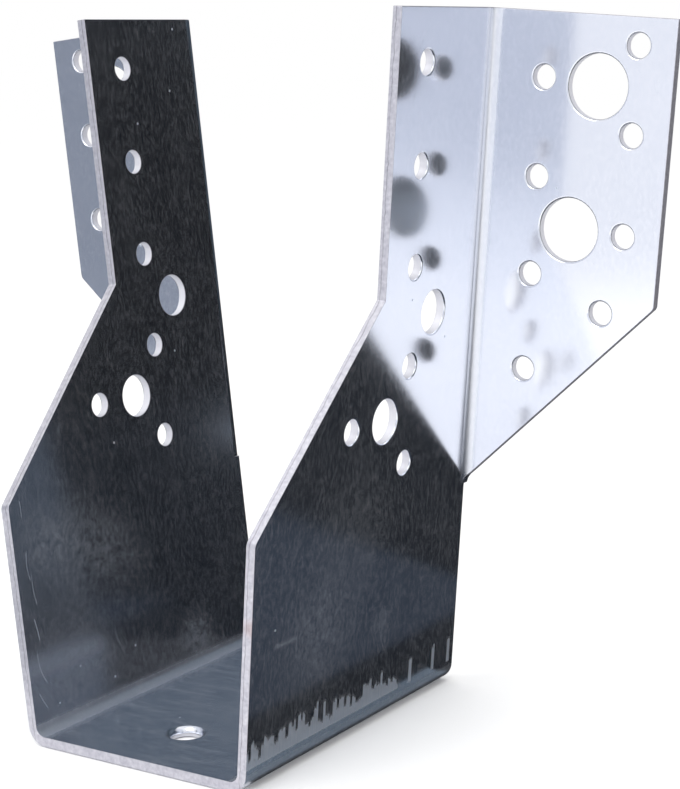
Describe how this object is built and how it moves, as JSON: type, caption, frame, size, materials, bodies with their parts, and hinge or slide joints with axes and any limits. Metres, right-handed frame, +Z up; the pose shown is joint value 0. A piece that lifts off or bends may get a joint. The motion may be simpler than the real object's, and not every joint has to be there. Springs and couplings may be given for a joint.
{
  "type": "joist hanger",
  "caption": "Face-fixed joist hanger folded from one galvanised steel sheet: flat seat, leaning sides with sloped front edges and outward header flanges, punched for nails and bolts.",
  "frame": {"origin": "below the middle of the part's box, on the plane that the seat rests on", "axes": "+X to the right across the joist, +Y back to the header beam, +Z up"},
  "size_m": [0.1602, 0.078, 0.1446],
  "materials": {
    "galvanised_steel": "zinc-coated, smooth and bright, with sheared edges"
  },
  "bodies": {
    "root": {"joist_hanger": "galvanised_steel"}
  },
  "joints": []
}
